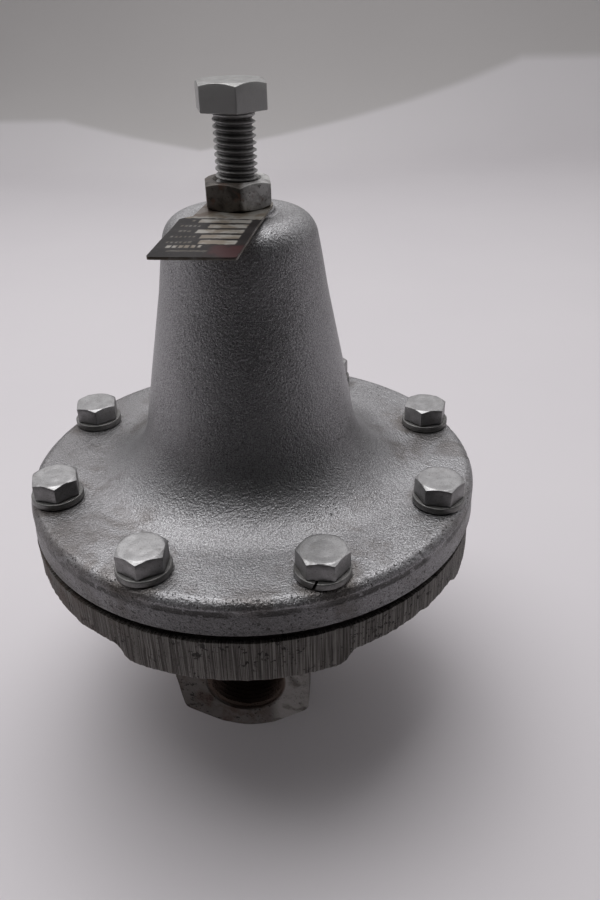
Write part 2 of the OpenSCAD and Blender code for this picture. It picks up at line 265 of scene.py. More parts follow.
def bolt_holes(z0, z1):
    """Cutters for the holes that the cover bolts pass through."""
    return [at_bolt(cylinder(BOLT_HOLE_R, z0, z1, 48), i) for i in range(8)]


def points_of(obj):
    co = np.empty(len(obj.data.vertices) * 3, np.float32)
    obj.data.vertices.foreach_get("co", co)
    return co.reshape(-1, 3).astype(float) / MM


def normals_of(obj):
    out = np.empty(len(obj.data.vertices) * 3, np.float32)
    obj.data.vertex_normals.foreach_get("vector", out)
    return out.reshape(-1, 3).astype(float)


def set_points(obj, points):
    obj.data.vertices.foreach_set("co", (points * MM).astype(np.float32).ravel())
    obj.data.update()


def noise(points, cell, seed):
    """Smooth value noise from -1 to 1, with features the size of cell."""
    p = points / cell
    base = np.floor(p).astype(np.int64)
    f = p - base
    ease = f * f * (3 - 2 * f)
    total = np.zeros(len(p))
    for corner in np.ndindex(2, 2, 2):
        c = base + np.array(corner)
        h = (c[:, 0] * 73856093) ^ (c[:, 1] * 19349663) ^ (c[:, 2] * 83492791) ^ (seed * 2654435761)
        h = ((h ^ (h >> 13)) * 1274126177) & 0xFFFFFFFF
        h = (h ^ (h >> 16)) & 0xFFFF
        weight = np.prod(np.where(np.array(corner) == 1, ease, 1 - ease), axis=1)
        total += weight * (h / 32767.5 - 1)
    return total


def step_up(x, start, end):
    t = np.clip((x - start) / (end - start), 0, 1)
    return t * t * (3 - 2 * t)


def push(obj, amount):
    """Moves each point along its normal by amount(points)."""
    p = points_of(obj)
    set_points(obj, p + normals_of(obj) * amount(p)[:, None])
    return obj


def smooth_by_angle(obj, degrees):
    mesh = obj.data
    mesh.shade_smooth()
    mesh.set_sharp_from_angle(angle=math.radians(degrees))
    return obj


# ---------- Shaders ----------

class Shader:
    """A material with short calls for its nodes. Textures use the piece's own place, in metres."""

    def __init__(self, metallic=0.0, roughness=0.5, specular=0.5):
        self.material = bpy.data.materials.new("unnamed")
        self.material.use_nodes = True
        self.tree = self.material.node_tree
        self.surface = self.tree.nodes["Principled BSDF"]
        self.surface.inputs["Metallic"].default_value = metallic
        self.surface.inputs["Roughness"].default_value = roughness
        self.surface.inputs["Specular IOR Level"].default_value = specular
        self.place = self.node("TexCoord").outputs["Object"]

    def node(self, kind):
        return self.tree.nodes.new("ShaderNode" + kind)

    def put(self, socket, value):
        if isinstance(value, bpy.types.NodeSocket):
            self.tree.links.new(value, socket)
        elif isinstance(value, (tuple, list)) and len(value) == 3 and socket.type == "RGBA":
            socket.default_value = (*value, 1)
        else:
            socket.default_value = value

    def set(self, **values):
        for name, value in values.items():
            self.put(self.surface.inputs[name.replace("_", " ")], value)

    def math(self, operation, a, b=0.0):
        node = self.node("Math")
        node.operation = operation
        self.put(node.inputs[0], a)
        self.put(node.inputs[1], b)
        return node.outputs[0]

    def noise(self, scale, detail=2, rough=0.5, place=None, distortion=0.0):
        node = self.node("TexNoise")
        self.put(node.inputs["Vector"], place or self.place)
        node.inputs["Scale"].default_value = scale
        node.inputs["Detail"].default_value = detail
        node.inputs["Roughness"].default_value = rough
        node.inputs["Distortion"].default_value = distortion
        return node.outputs["Fac"]

    def window(self, value, start, end):
        """0 before start, 1 after end, smooth between. Start may be the larger."""
        node = self.node("MapRange")
        node.interpolation_type = "SMOOTHSTEP"
        self.put(node.inputs["Value"], value)
        node.inputs["From Min"].default_value = min(start, end)
        node.inputs["From Max"].default_value = max(start, end)
        node.inputs["To Min"].default_value = 0 if start < end else 1
        node.inputs["To Max"].default_value = 1 if start < end else 0
        return node.outputs["Result"]

    def window_mm(self, length, start, end):
        """As window, for a length in metres, with start and end in millimetres."""
        return self.window(length, start * MM, end * MM)

    def mix(self, factor, a, b):
        node = self.node("Mix")
        node.data_type = "RGBA"
        self.put(node.inputs[0], factor)
        self.put(node.inputs[6], a)
        self.put(node.inputs[7], b)
        return node.outputs[2]

    def over(self, tone, mask, share, colour):
        """Tone with a share of another colour laid over it where the mask is 1."""
        return self.mix(self.math("MULTIPLY", mask, share), tone, colour)

    def blend(self, factor, a, b):
        """Number between a and b."""
        node = self.node("Mix")
        self.put(node.inputs[0], factor)
        self.put(node.inputs[2], a)
        self.put(node.inputs[3], b)
        return node.outputs[0]

    def all_of(self, *factors):
        out = factors[0]
        for factor in factors[1:]:
            out = self.math("MULTIPLY", out, factor)
        return out

    def axes(self):
        node = self.node("SeparateXYZ")
        self.put(node.inputs[0], self.place)
        return node.outputs

    def hypot(self, a, b):
        return self.math("SQRT", self.math("ADD", self.all_of(a, a), self.all_of(b, b)))

    def radius(self):
        x, y, _ = self.axes()
        return self.hypot(x, y)

    def from_bolt(self):
        """Distance from the axis of the nearest cover bolt."""
        x, y, _ = self.axes()
        around = self.math("ADD", self.math("ARCTAN2", x, y), 2 * math.pi)
        turn = self.math("SUBTRACT", self.math("MODULO", around, math.pi / 4), math.pi / 8)
        radius = self.radius()
        aside = self.all_of(self.math("SINE", turn), radius)
        out = self.math("SUBTRACT", self.all_of(self.math("COSINE", turn), radius), BOLT_CIRCLE_R * MM)
        return self.hypot(aside, out)

    def upright(self):
        """1 where the surface faces sideways, and 0 where it faces up or down."""
        node = self.node("SeparateXYZ")
        self.put(node.inputs[0], self.node("NewGeometry").outputs["Normal"])
        return self.window(self.math("ABSOLUTE", node.outputs[2]), 0.5, 0.2)

    def unrolled(self, around, along, across):
        """Turn round the valve axis, height and radius, each scaled, so that noise can run in streaks."""
        x, y, z = self.axes()
        node = self.node("CombineXYZ")
        self.put(node.inputs[0], self.math("MULTIPLY", self.math("ARCTAN2", x, y), around))
        self.put(node.inputs[1], self.math("MULTIPLY", z, along))
        self.put(node.inputs[2], self.math("MULTIPLY", self.radius(), across))
        return node.outputs[0]

    def attribute(self, name):
        node = self.node("Attribute")
        node.attribute_name = name
        return node.outputs["Fac"]

    def bump(self, height, distance, strength):
        node = self.node("Bump")
        node.inputs["Distance"].default_value = distance
        node.inputs["Strength"].default_value = strength
        self.put(node.inputs["Height"], height)
        return node.outputs["Normal"]


def silver_paint():
    """Aluminium paint on a sand casting: fine pebbles, dark pits, dirt and painted shade by the bolts, worn
    under the rim, and painted shade on the rim's side face.
    """
    s = Shader(specular=0.4)
    x, _, z = s.axes()
    radius = s.radius()
    patches = s.noise(38, 4)
    tone = s.mix(s.window(patches, 0.3, 0.7), (0.255, 0.249, 0.256), (0.335, 0.329, 0.340))
    grain = s.noise(2600, 2)
    tone = s.mix(s.window(grain, 0.46, 0.66), tone, (0.44, 0.44, 0.45))
    tone = s.over(tone, s.window(grain, 0.45, 0.36), 0.5, (0.12, 0.116, 0.116))
    on_flange = s.window_mm(radius, CONE_BASE_R + 3.3, CONE_BASE_R + 12.3)
    smudge = s.all_of(s.window(s.noise(52, 3, 0.6, distortion=0.6), 0.48, 0.68), on_flange)
    tone = s.over(tone, smudge, 0.5, (0.10, 0.082, 0.070))
    # Dirt and painted shade round the foot of each cover bolt.
    beside_bolt = s.window_mm(s.from_bolt(), 13.5, 9.2)
    dirt_and_shade = s.all_of(beside_bolt, on_flange, s.window(s.noise(75, 3, 0.6), 0.46, 0.62))
    tone = s.over(tone, dirt_and_shade, 0.6, (0.085, 0.066, 0.050))
    # The flange's top is darker on its left side.
    left_flange_darker = s.all_of(on_flange, s.window_mm(x, -30, -62), s.window(patches, 0.25, 0.6))
    tone = s.over(tone, left_flange_darker, 0.42, (0.11, 0.10, 0.098))
    cluster = s.window(s.noise(46, 2), 0.44, 0.62)
    pits = s.all_of(s.window(s.noise(520, 3, 0.7), 0.68, 0.73), cluster, on_flange)
    specks = s.all_of(s.window(s.noise(1350, 1), 0.66, 0.74), cluster)
    low_side = s.window_mm(z, SEAT_Z - 3, SEAT_Z - 4.4)
    side = s.all_of(s.window_mm(radius, COVER_R - 1.8, COVER_R - 0.6), low_side)
    at_side = s.window_mm(radius, COVER_R - 1.8, COVER_R - 1.2)
    below, above = s.window_mm(z, SEAT_Z - 2.6, SEAT_Z - 3.4), s.window_mm(z, SEAT_Z - 5.4, SEAT_Z - 4.6)
    broken = s.all_of(s.window(s.noise(600, 3), 0.34, 0.46), s.window(s.noise(45, 2), 0.36, 0.48))
    worn = s.all_of(at_side, below, above, broken)
    at_rim = s.window_mm(radius, COVER_R - 4.6, COVER_R - 1.8)
    rim_specks = s.all_of(at_rim, s.window(s.noise(1100, 2), 0.60, 0.68))
    dark = s.math("MAXIMUM", s.math("MAXIMUM", pits, specks), s.math("MAXIMUM", worn, rim_specks))
    # The rim's side face is painted darker, most at the front: painted shade.
    painted_side_share = s.blend(s.window_mm(s.math("ABSOLUTE", x), 8, 50), 0.68, 0.34)
    tone = s.over(tone, side, painted_side_share, (0.050, 0.047, 0.046))
    tone = s.over(tone, dark, 0.85, (0.030, 0.026, 0.024))
    pebbles = s.noise(1350, 3, 0.62)
    coarse = s.noise(420, 2)
    height = s.math("ADD", pebbles, s.math("MULTIPLY", coarse, 0.5))
    height = s.math("SUBTRACT", height, s.math("MULTIPLY", dark, 0.5))
    s.set(Base_Color=tone, Normal=s.bump(height, 0.00036, 0.9))
    s.set(Roughness=s.blend(patches, 0.34, 0.43), Metallic=s.blend(dark, 0.88, 0.2))
    return s.material


def body_iron():
    """Raw grey iron: upright scores on the flange's edge, black pits, rust at the left and at the port."""
    s = Shader(specular=0.35)
    x, y, z = s.axes()
    radius = s.radius()
    patches = s.noise(60, 4)
    tone = s.mix(s.window(patches, 0.3, 0.7), (0.090, 0.081, 0.073), (0.140, 0.128, 0.118))
    edge = s.window_mm(radius, BODY_R - 3, BODY_R - 1.8)
    scores = s.noise(1.0, 2, 0.6, s.unrolled(250, 30, 30))
    fine_scores = s.noise(1.0, 2, 0.5, s.unrolled(480, 45, 30))
    lines = s.math("ADD", s.math("MULTIPLY", scores, 0.45), s.math("MULTIPLY", fine_scores, 0.55))
    light_line = s.math("MULTIPLY", s.window(lines, 0.50, 0.56), edge)
    dark_line = s.math("MULTIPLY", s.window(lines, 0.49, 0.43), edge)
    tone = s.over(tone, light_line, 0.75, (0.28, 0.265, 0.25))
    tone = s.over(tone, dark_line, 0.6, (0.022, 0.019, 0.016))
    front = s.window_mm(y, 0, -60)
    pits = s.all_of(s.window(s.noise(420, 3, 0.7), 0.57, 0.62), s.window(s.noise(75, 2), 0.42, 0.54), front)
    specks = s.all_of(s.window(s.noise(1100, 1), 0.62, 0.70), s.window(s.noise(90, 2), 0.42, 0.6))
    dark = s.math("MAXIMUM", pits, specks)
    tone = s.over(tone, dark, 0.9, (0.014, 0.012, 0.011))
    left = s.window_mm(x, -22, -62)
    brown = s.all_of(left, s.window(s.noise(90, 4, 0.6), 0.36, 0.60))
    tone = s.over(tone, brown, 0.7, (0.095, 0.060, 0.044))
    face = s.all_of(s.window_mm(y, 1.5 - PORT_Y, 0.5 - PORT_Y), s.window_mm(z, PORT_Z + 23, PORT_Z + 20))
    rust = s.window(s.noise(130, 4, 0.6, distortion=0.4), 0.42, 0.60)
    rusty = s.all_of(face, rust, s.window_mm(x, 10, 2))
    tone = s.over(tone, rusty, 0.7, (0.055, 0.026, 0.018))
    # Lighter patches on the right of the port's face.
    port_face_lighter = s.all_of(face, s.window_mm(x, 7, 12), s.window(s.noise(170, 3), 0.34, 0.5))
    tone = s.over(tone, port_face_lighter, 0.8, (0.34, 0.325, 0.31))
    from_port = s.hypot(x, s.math("SUBTRACT", z, PORT_Z * MM))
    bore = s.window_mm(from_port, PORT_R + 0.9, PORT_R + 0.3)
    tone = s.over(tone, bore, 0.9, (0.115, 0.080, 0.062))
    height = s.math("ADD", s.noise(700, 3), s.all_of(edge, lines, 2.4))
    height = s.math("SUBTRACT", height, s.math("MULTIPLY", dark, 0.9))
    s.set(Base_Color=tone, Normal=s.bump(height, 0.00035, 0.9))
    s.set(Roughness=s.blend(patches, 0.50, 0.70), Metallic=s.blend(brown, 0.5, 0.05))
    return s.material


def plated_steel(bright, dull, roughness=0.36, stain=0.3, bump=0.00005, metallic=0.82,
                 painted_side_tone=(0.045, 0.041, 0.038), painted_side_share=0.0, groove_dirt_and_shade=0.0):
    """Dull zinc plate: cloudy wear, faint scratches and grime. Upright sides get a tone of their own, painted
    shade where it is darker and painted light where it is lighter.
    """
    s = Shader()
    clouds = s.noise(300, 4, 0.6)
    tone = s.mix(s.window(clouds, 0.32, 0.70), dull, bright)
    scratch = s.noise(1.0, 2, 0.5, s.unrolled(40, 3000, 500))
    tone = s.over(tone, s.window(scratch, 0.60, 0.70), 0.25, dull)
    speckle = s.window(s.noise(2300, 3, 0.65), 0.52, 0.68)
    tone = s.over(tone, speckle, 0.55, tuple(c * 0.35 for c in dull))
    grime = s.window(s.noise(420, 3, 0.65), 0.56, 0.70)
    tone = s.over(tone, grime, stain, (0.10, 0.085, 0.07))
    # Upright sides painted in another tone: painted shade on the cover bolts' heads, painted light on the
    # adjusting screw.
    tone = s.over(tone, s.upright(), painted_side_share, painted_side_tone)
    if groove_dirt_and_shade:
        # Dirt and painted shade in the thread's roots below the head.
        head_z = SCREW_TOP_Z - SCREW_HEAD_H
        in_groove = s.window_mm(s.radius(), SCREW_R - 0.22, SCREW_R - 0.82)
        groove = s.all_of(in_groove, s.window_mm(s.axes()[2], head_z, head_z - 1))
        tone = s.over(tone, groove, groove_dirt_and_shade, (0.05, 0.047, 0.043))
    height = s.math("ADD", s.noise(1900, 2), s.math("MULTIPLY", clouds, 1.5))
    s.set(Base_Color=tone, Normal=s.bump(height, bump, 0.6))
    s.set(Roughness=s.blend(clouds, roughness + 0.10, roughness - 0.04))
    s.set(Metallic=s.blend(grime, metallic, 0.4))
    return s.material


def turned_metal(tone, dark, roughness, metallic=0.95):
    """Lathe-turned metal, with tool rings round the valve axis."""
    s = Shader(metallic=metallic)
    rings = s.noise(1.0, 2, 0.5, s.unrolled(0.4, 3200, 3200))
    clouds = s.noise(150, 3)
    s.set(Base_Color=s.mix(s.window(clouds, 0.35, 0.7), dark, tone))
    s.set(Roughness=s.blend(clouds, roughness - 0.06, roughness + 0.1))
    s.set(Normal=s.bump(rings, 0.00005, 0.5))
    return s.material


def soft_sheet(tone, dark, grain, roughness=0.75):
    """Rubber, fibre or cloth-backed sheet: fine grain and a cloudy tone."""
    s = Shader(roughness=roughness, specular=0.3)
    clouds = s.noise(90, 3)
    fibres = s.noise(grain, 3, 0.6)
    mottled = s.mix(s.window(clouds, 0.35, 0.7), dark, tone)
    s.set(Base_Color=s.over(mottled, s.window(fibres, 0.5, 0.7), 0.3, dark))
    s.set(Normal=s.bump(fibres, 0.00012, 0.7))
    return s.material


def plate_print():
    """Dark print on aluminium. The mesh's own values say where it is bare and where it is stained."""
    s = Shader(specular=0.1)
    bare, stain = s.attribute("bare"), s.attribute("stain")
    scuffs = s.window(s.noise(1500, 3, 0.6), 0.62, 0.72)
    clouds = s.noise(210, 4)
    ink = s.mix(s.window(clouds, 0.35, 0.7), (0.012, 0.010, 0.010), (0.022, 0.019, 0.019))
    ink = s.over(ink, scuffs, 0.35, (0.12, 0.115, 0.11))
    metal = s.mix(s.window(clouds, 0.42, 0.62), (0.21, 0.18, 0.145), (0.33, 0.315, 0.29))
    tone = s.mix(bare, ink, metal)
    tone = s.over(tone, stain, 0.85, (0.050, 0.018, 0.019))
    s.set(Base_Color=tone, Metallic=s.blend(bare, 0.1, 0.6), Roughness=s.blend(bare, 0.42, 0.44))
    s.set(Normal=s.bump(s.math("ADD", clouds, s.math("MULTIPLY", bare, -0.5)), 0.00006, 0.6))
    return s.material


def nut_steel():
    """Old zinc plate, dark brown left of its axis and light grey right of it, with dark specks and rust."""
    s = Shader()
    clouds = s.noise(240, 4, 0.62, distortion=0.3)
    right_side = s.window_mm(s.axes()[0], 1.5, 3.5)
    left_tone = s.mix(s.window(clouds, 0.38, 0.60), (0.040, 0.032, 0.026), (0.125, 0.110, 0.096))
    right_tone = s.mix(s.window(clouds, 0.38, 0.60), (0.34, 0.33, 0.32), (0.60, 0.59, 0.58))
    tone = s.mix(right_side, left_tone, right_tone)
    specks = s.window(s.noise(1300, 2), 0.60, 0.70)
    tone = s.over(tone, specks, 0.6, (0.030, 0.022, 0.018))
    rust = s.window(s.noise(330, 3), 0.57, 0.68)
    tone = s.over(tone, rust, 0.5, (0.15, 0.07, 0.045))
    s.set(Base_Color=tone, Roughness=s.blend(clouds, 0.62, 0.40), Metallic=s.blend(clouds, 0.10, 0.55))
    s.set(Normal=s.bump(s.math("ADD", s.noise(1500, 3), clouds), 0.00012, 0.8))
    return s.material


ZINC_BRIGHT, ZINC_DULL = (0.43, 0.425, 0.428), (0.32, 0.316, 0.318)
BRONZE, BRONZE_DARK = (0.62, 0.42, 0.20), (0.45, 0.29, 0.13)
STEEL, STEEL_DARK = (0.52, 0.52, 0.53), (0.36, 0.36, 0.37)
materials = {
    "silver_paint": silver_paint(),
    "body_iron": body_iron(),
    # The bolt heads' sides are painted darker as painted shade, the adjusting screw's sides lighter as
    # painted light, and its thread roots get dirt and painted shade.
    "bolt_zinc": plated_steel(ZINC_BRIGHT, ZINC_DULL, painted_side_share=0.42),
    "washer_zinc": plated_steel((0.25, 0.245, 0.24), (0.17, 0.167, 0.163), 0.42, 0.4),
    "screw_zinc": plated_steel((0.33, 0.327, 0.32), (0.24, 0.237, 0.232), stain=0.5, metallic=0.4,
                               painted_side_tone=(0.50, 0.495, 0.49), painted_side_share=0.8, groove_dirt_and_shade=0.6),
    "nut_plated": plated_steel(ZINC_BRIGHT, ZINC_DULL),
    "cap_iron": plated_steel((0.27, 0.265, 0.26), (0.17, 0.165, 0.16), 0.5, 0.6, 0.0002),
    "plate_print": plate_print(),
    "nut_steel": nut_steel(),
    "seat_bronze": turned_metal(BRONZE, BRONZE_DARK, 0.30),
    "bushing_bronze": turned_metal(BRONZE, BRONZE_DARK, 0.34),
    "plug_bronze": turned_metal(BRONZE, BRONZE_DARK, 0.32),
    "stem_stainless": turned_metal((0.60, 0.60, 0.60), (0.50, 0.50, 0.50), 0.22),
    "plate_steel": turned_metal(STEEL, STEEL_DARK, 0.38),
    "button_steel": turned_metal((0.42, 0.38, 0.28), (0.28, 0.25, 0.19), 0.42),
    "spring_steel": turned_metal((0.16, 0.17, 0.18), (0.09, 0.09, 0.10), 0.45, 0.7),
    "spring_stainless": turned_metal(STEEL, STEEL_DARK, 0.28),
    "gasket_fibre": soft_sheet((0.30, 0.22, 0.14), (0.20, 0.14, 0.09), 900),
    "flange_gasket": soft_sheet((0.030, 0.028, 0.027), (0.014, 0.013, 0.012), 800),
    "diaphragm_rubber": soft_sheet((0.022, 0.021, 0.021), (0.010, 0.010, 0.010), 1200),
    "disc_rubber": soft_sheet((0.020, 0.020, 0.021), (0.010, 0.010, 0.010), 600, 0.6),
}
for name, material in materials.items():
    material.name = name


def finish(obj, body, slot, *nodes, angle=35):
    """Gives a piece its material, shading and body, and hides the CAD nodes that it stands for."""
    smooth_by_angle(obj, angle)
    obj.data.materials.clear()
    obj.data.materials.append(materials[slot])
    if body:
        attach(obj, body)
    if nodes:
        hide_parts(*nodes)
    return obj


# ---------- Castings ----------

def cage_profile(inset):
    """Outer face of the cage from the flange's top, up the fillet and cone, to the flat of the dome."""
    cos_a, sin_a = math.cos(CONE_SLOPE), math.sin(CONE_SLOPE)
    slope = math.degrees(CONE_SLOPE)
    reach = CONE_BASE_R * cos_a
    fillet_x = (reach + BASE_FILLET - BASE_FILLET * sin_a) / cos_a
    dome_x = (reach - DOME_ROUND - (CAGE_H - DOME_ROUND) * sin_a) / cos_a
    dome_z = SEAT_Z + CAGE_H - DOME_ROUND
    points = arc(fillet_x, SEAT_Z + BASE_FILLET, BASE_FILLET + inset, 270, 180 + slope, 26)
    points += arc(dome_x, dome_z, DOME_ROUND - inset, slope, 90, 14)
    return points


def make_cage():
    """Lathed casting with its inside, then cast waviness, a chipped rim and drilled holes."""
    hole_r, break_r, root_r, boss_round = SCREW_R + RUN_GAP, 0.6, 0.8, 0.5
    top_z = SEAT_Z + CAGE_H
    outside = [(CHAMBER_R, COVER_LOW_Z)]
    outside += arc(COVER_R - break_r, COVER_LOW_Z + break_r, break_r, 270, 360, 4)
    outside += arc(COVER_R - RIM_ROUND, SEAT_Z - RIM_ROUND, RIM_ROUND, 0, 90, 12)
    outside += cage_profile(0)
    outside += arc(BOSS_R + root_r, top_z + root_r, root_r, 270, 180, 4)
    outside += arc(BOSS_R - boss_round, BOSS_Z - boss_round, boss_round, 0, 90, 4)
    outside += [(hole_r + break_r, BOSS_Z), (hole_r, BOSS_Z - break_r), (hole_r, top_z - CAGE_WALL)]
    inside = cage_profile(CAGE_WALL)[::-1]
    inside = [p for p in inside if p[1] > COVER_LOW_Z + 2.5 and p[0] < CHAMBER_R - 0.5]
    inside += [(CHAMBER_R, COVER_LOW_Z + 2)]
    profile = fine(outside, 0.9) + fine(inside, 3)
    cage = lathe("spring_cage_casting", profile, 600)

    def cast_skin(p):
        """The skin is sunk so that its waves stay inside the cast shape."""
        r, z, sunk, chip_depth = np.hypot(p[:, 0], p[:, 1]), p[:, 2], 0.22, 0.28
        wavy = 0.13 * noise(p, 28, 1) + 0.04 * noise(p, 9, 2) + 0.012 * noise(p, 2.4, 3)
        outer = step_up(z, COVER_LOW_Z + 0.4, COVER_LOW_Z + 1.5) * step_up(r, BOSS_R + 1, BOSS_R + 3)
        rim = step_up(r, COVER_R - 2.4, COVER_R - 1.2) * step_up(z, SEAT_Z - 5, SEAT_Z - 3.4)
        chips = np.clip(noise(p, 1.5, 4) * 1.3 + 0.7 * noise(p, 9, 5) - 0.25, 0, 1)
        full = SHOULDER_FULL * step_up(z, top_z - 26, top_z - DOME_ROUND)
        return outer * (wavy - sunk + full) - rim * (chip_depth * chips)

    push(cage, cast_skin)
    vent = shifted(rotated(cylinder(VENT_R, 0, 20, 32), -90, "X"), y=20, z=VENT_Z)
    cut(cage, bolt_holes(COVER_LOW_Z - 1, SEAT_Z + 1) + [vent])
    return finish(cage, "housing", "silver_paint", "spring_cage", angle=50)


def lobe(turn, drop):
    """Thick part of the body's flange under a pair of bolts, with sloping rounded ends."""
    half, low_z = 38.7, BODY_TOP_Z - drop
    corner, slant = 4, 3.5
    outline = [(-half, BODY_TOP_Z - 8), (-half, low_z + corner + slant)]
    outline += arc(-half + corner + slant, low_z + corner, corner, 200, 270, 6)
    outline += arc(half - corner - slant, low_z + corner, corner, 270, 340, 6)
    outline += [(half, low_z + corner + slant), (half, BODY_TOP_Z - 8)]
    rings = [[(x, y, z) for x, z in outline] for y in (-46, -BODY_R - 1)]
    solid = loft("lobe", rings)
    cut(solid, [cylinder(BODY_R - 0.4, low_z - 1, BODY_TOP_Z, 180)], "INTERSECT")
    return rotated(solid, turn)


def hex_radius(angles, af, corner_r):
    """Distance from the axis to a hexagon with a rounded corner at angle 0."""
    u = np.abs((angles + math.pi / 6) % (math.pi / 3) - math.pi / 6)
    centre = (af / 2 - corner_r) / math.cos(math.pi / 6)
    tangent = math.atan2(corner_r / 2, centre + corner_r * math.cos(math.pi / 6))
    flat = af / 2 / np.cos(math.pi / 6 - u)
    inside_root = np.clip(corner_r ** 2 - (centre * np.sin(u)) ** 2, 0, None)
    return np.where(u < tangent, centre * np.cos(u) + np.sqrt(inside_root), flat)


def port_hexagon():
    """Cast hexagon along -Y from the globe, worn round at its lowest corner and leaning out at its left."""
    angles = even_angles(96)
    from_low = np.abs((angles + math.pi) % (2 * math.pi) - math.pi)
    worn = 21.4 + 4 * step_up(from_low, 0.30, 0.85)
    radius = np.minimum(hex_radius(angles, PORT_AF, 3), worn)
    lean, lean_z = 0.006, 38
    rings = []
    for y, grow in ((-18, 0.97), (-PORT_Y - 2, 1)):
        r = radius * grow
        x, z = r * np.sin(angles), PORT_Z - r * np.cos(angles)
        x = np.where(x < 0, x * (1 + lean * np.clip(z - lean_z, 0, 20)), x)
        rings.append(np.stack([x, np.full(len(angles), y), z], 1))
    return loft("port", rings)


def port_thread():
    """Cutter with a taper pipe thread and a countersunk mouth, running along -Y into the port."""
    angles = even_angles(96)
    thread_end, runout, thread_depth, taper, sink_depth = 16.5, 1.5, 0.95, 0.02, 0.8
    rings = []
    for depth in np.arange(-3, 17.01, PORT_PITCH / 10):
        phase = (depth / PORT_PITCH - angles / (2 * math.pi)) % 1
        tooth = np.clip(np.abs(phase - 0.5) * 2.6 - 0.3, 0, 1)
        fade = np.clip((depth + 0.5) / runout, 0, 1) * np.clip((thread_end - depth) / runout, 0, 1)
        inward = max(0, depth)
        r = PORT_R + 0.5 - thread_depth * tooth * fade - inward * taper + max(0, sink_depth - inward)
        x, z = r * np.sin(angles), PORT_Z - r * np.cos(angles)
        rings.append(np.stack([x, np.full(len(angles), depth - PORT_Y), z], 1))
    return loft("thread", rings)


def tube_between(a, b, r, count=48):
    """Cylinder of radius r from point a to point b."""
    a, b = Vector(a), Vector(b)
    solid = cylinder(r, 0, (b - a).length, count)
    turn = (b - a).to_track_quat("Z", "Y").to_matrix().to_4x4()
    return moved(solid, Matrix.Translation(a * MM) @ turn)


def make_body():
    """Rough solids fused and softened as a casting, then the machined faces and bores are cut."""
    thin_z, rough_r = BODY_TOP_Z - FLANGE_T, BODY_R - 0.5
    outline = [(21, 8), (21, 22), (23, 26), (31, 38), (33, 46), (33, 54), (31, 64), (35, 69)]
    outline += [(48, thin_z - 3), (61, thin_z), (rough_r, thin_z), (rough_r, BODY_TOP_Z + 2)]
    body = lathe("valve_body_casting", outline, 256, loop=False)
    lobe_drops = (15.6, 14.3, 15.6, 15.2)
    cut(body, [lobe(90 * i, drop) for i, drop in enumerate(lobe_drops)], "UNION")
    cut(body, [port_hexagon(), rotated(port_hexagon(), 180)], "UNION")
    floor_z, passage_r = BODY_TOP_Z - 7.7, 9
    hollows = [
        lathe("chamber", [(45, floor_z), (53, floor_z + 4), (CHAMBER_R, floor_z + 4.5),
                          (CHAMBER_R, BODY_TOP_Z + 5)], 128, loop=False),
        cylinder(15, 52, 64), cylinder(17, 8, 42),
        tube_between((0, -42, PORT_Z), (0, -9, 58), passage_r),
        tube_between((0, 42, PORT_Z), (0, 9, 35), passage_r),
    ]
    cut(body, hollows)
    shrink = body.modifiers.new("fuse", "REMESH")
    shrink.mode, shrink.voxel_size = "VOXEL", 0.8 * MM
    soften = body.modifiers.new("soften", "SMOOTH")
    soften.factor, soften.iterations = 0.5, 5
    baked(body)

    p = points_of(body)
    p[:, 0] -= FLANGE_SHIFT * step_up(np.hypot(p[:, 0], p[:, 1]), 50, 62)
    set_points(body, p)

    def cast_skin(p):
        """The skin is sunk so that its waves stay inside the cast shape. Scores run up the flange's edge."""
        r, sunk, pit_depth = np.hypot(p[:, 0], p[:, 1]), 0.25, 0.7
        around = np.stack([np.arctan2(p[:, 0], -p[:, 1]) * BODY_R, p[:, 2] * 0.08, r * 0.1], 1)
        rim = step_up(r, BODY_R - 2, BODY_R - 1.2)
        scored = 0.11 * noise(around, 2.1, 11) + 0.08 * noise(around, 6, 12)
        pits = np.clip(noise(p, 2.4, 13) + 0.5 * noise(p, 14, 14) - 0.62, 0, 1)
        wavy = 0.22 * noise(p, 22, 15) + 0.10 * noise(p, 6, 16) + 0.05 * noise(p, 2.4, 17)
        return wavy - sunk + rim * (scored - pit_depth * pits)

    push(body, cast_skin)
    cutters = [cylinder(BODY_R + 5, BODY_TOP_Z, BODY_TOP_Z + 6), cylinder(30, 4, BODY_LOW_Z)]
    for turn in (0, 180):
        face = loft("face", [[(x, y, z) for x, z in ((-30, 20), (30, 20), (30, 72), (-30, 72))]
                             for y in (-PORT_Y, -PORT_Y - 6)])
        cutters += [rotated(face, turn), rotated(port_thread(), turn)]
    for_seat, for_bushing, for_cap = cylinder(12.55, 41, 53), cylinder(8.05, 63, 90, 64), cylinder(17, 10, 24)
    cutters += [for_seat, for_bushing, for_cap]
    cutters += [at_bolt(cylinder(BOLT_R + 0.05, BODY_TOP_Z - 14.4, BODY_TOP_Z + 1, 40), i) for i in range(8)]
    cut(body, cutters)
    return finish(body, "housing", "body_iron", "valve_body", angle=42)


# ---------- Hexagons and threads ----------

def hex_angles(af, corner_r, per_side=14):
    centre = (af / 2 - corner_r) / math.cos(math.pi / 6)
    tangent = math.atan2(corner_r / 2, centre + corner_r * math.cos(math.pi / 6))
    corner = [-tangent, -tangent / 2, 0, tangent / 2, tangent]
    side = list(np.linspace(tangent, math.pi / 3 - tangent, per_side + 2)[1:-1])
    return np.array([k * math.pi / 3 + u for k in range(6) for u in corner + side])


